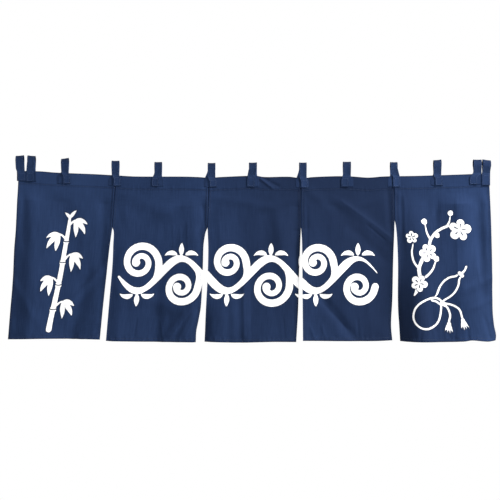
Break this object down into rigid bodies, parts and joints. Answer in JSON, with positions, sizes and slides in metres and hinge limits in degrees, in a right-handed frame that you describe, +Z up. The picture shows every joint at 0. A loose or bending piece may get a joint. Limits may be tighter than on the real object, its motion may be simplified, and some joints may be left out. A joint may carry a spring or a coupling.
{
  "type": "noren curtain",
  "caption": "Short split door curtain of navy cotton widths sewn side by side at the top, with cloth loops for a rod and white printed motifs",
  "frame": {"origin": "centre of the rod space inside the middle loop", "axes": "+X along the rod to the viewer's right, +Y away from the viewer through the cloth, +Z up"},
  "size_m": [1.7556, 0.0569, 0.6737],
  "materials": {
    "cotton_cloth": "plain woven navy cotton with white printed motifs",
    "cotton_loops": "the same navy cotton, folded and stitched into strips"
  },
  "bodies": {
    "root": {"panel_1": "cotton_cloth", "panel_2": "cotton_cloth", "panel_3": "cotton_cloth", "panel_4": "cotton_cloth", "panel_5": "cotton_cloth", "loop_1": "cotton_loops", "loop_2": "cotton_loops", "loop_3": "cotton_loops", "loop_4": "cotton_loops", "loop_5": "cotton_loops", "loop_6": "cotton_loops", "loop_7": "cotton_loops", "loop_8": "cotton_loops", "loop_9": "cotton_loops", "loop_10": "cotton_loops", "loop_11": "cotton_loops", "loop_12": "cotton_loops", "loop_13": "cotton_loops"}
  },
  "joints": []
}
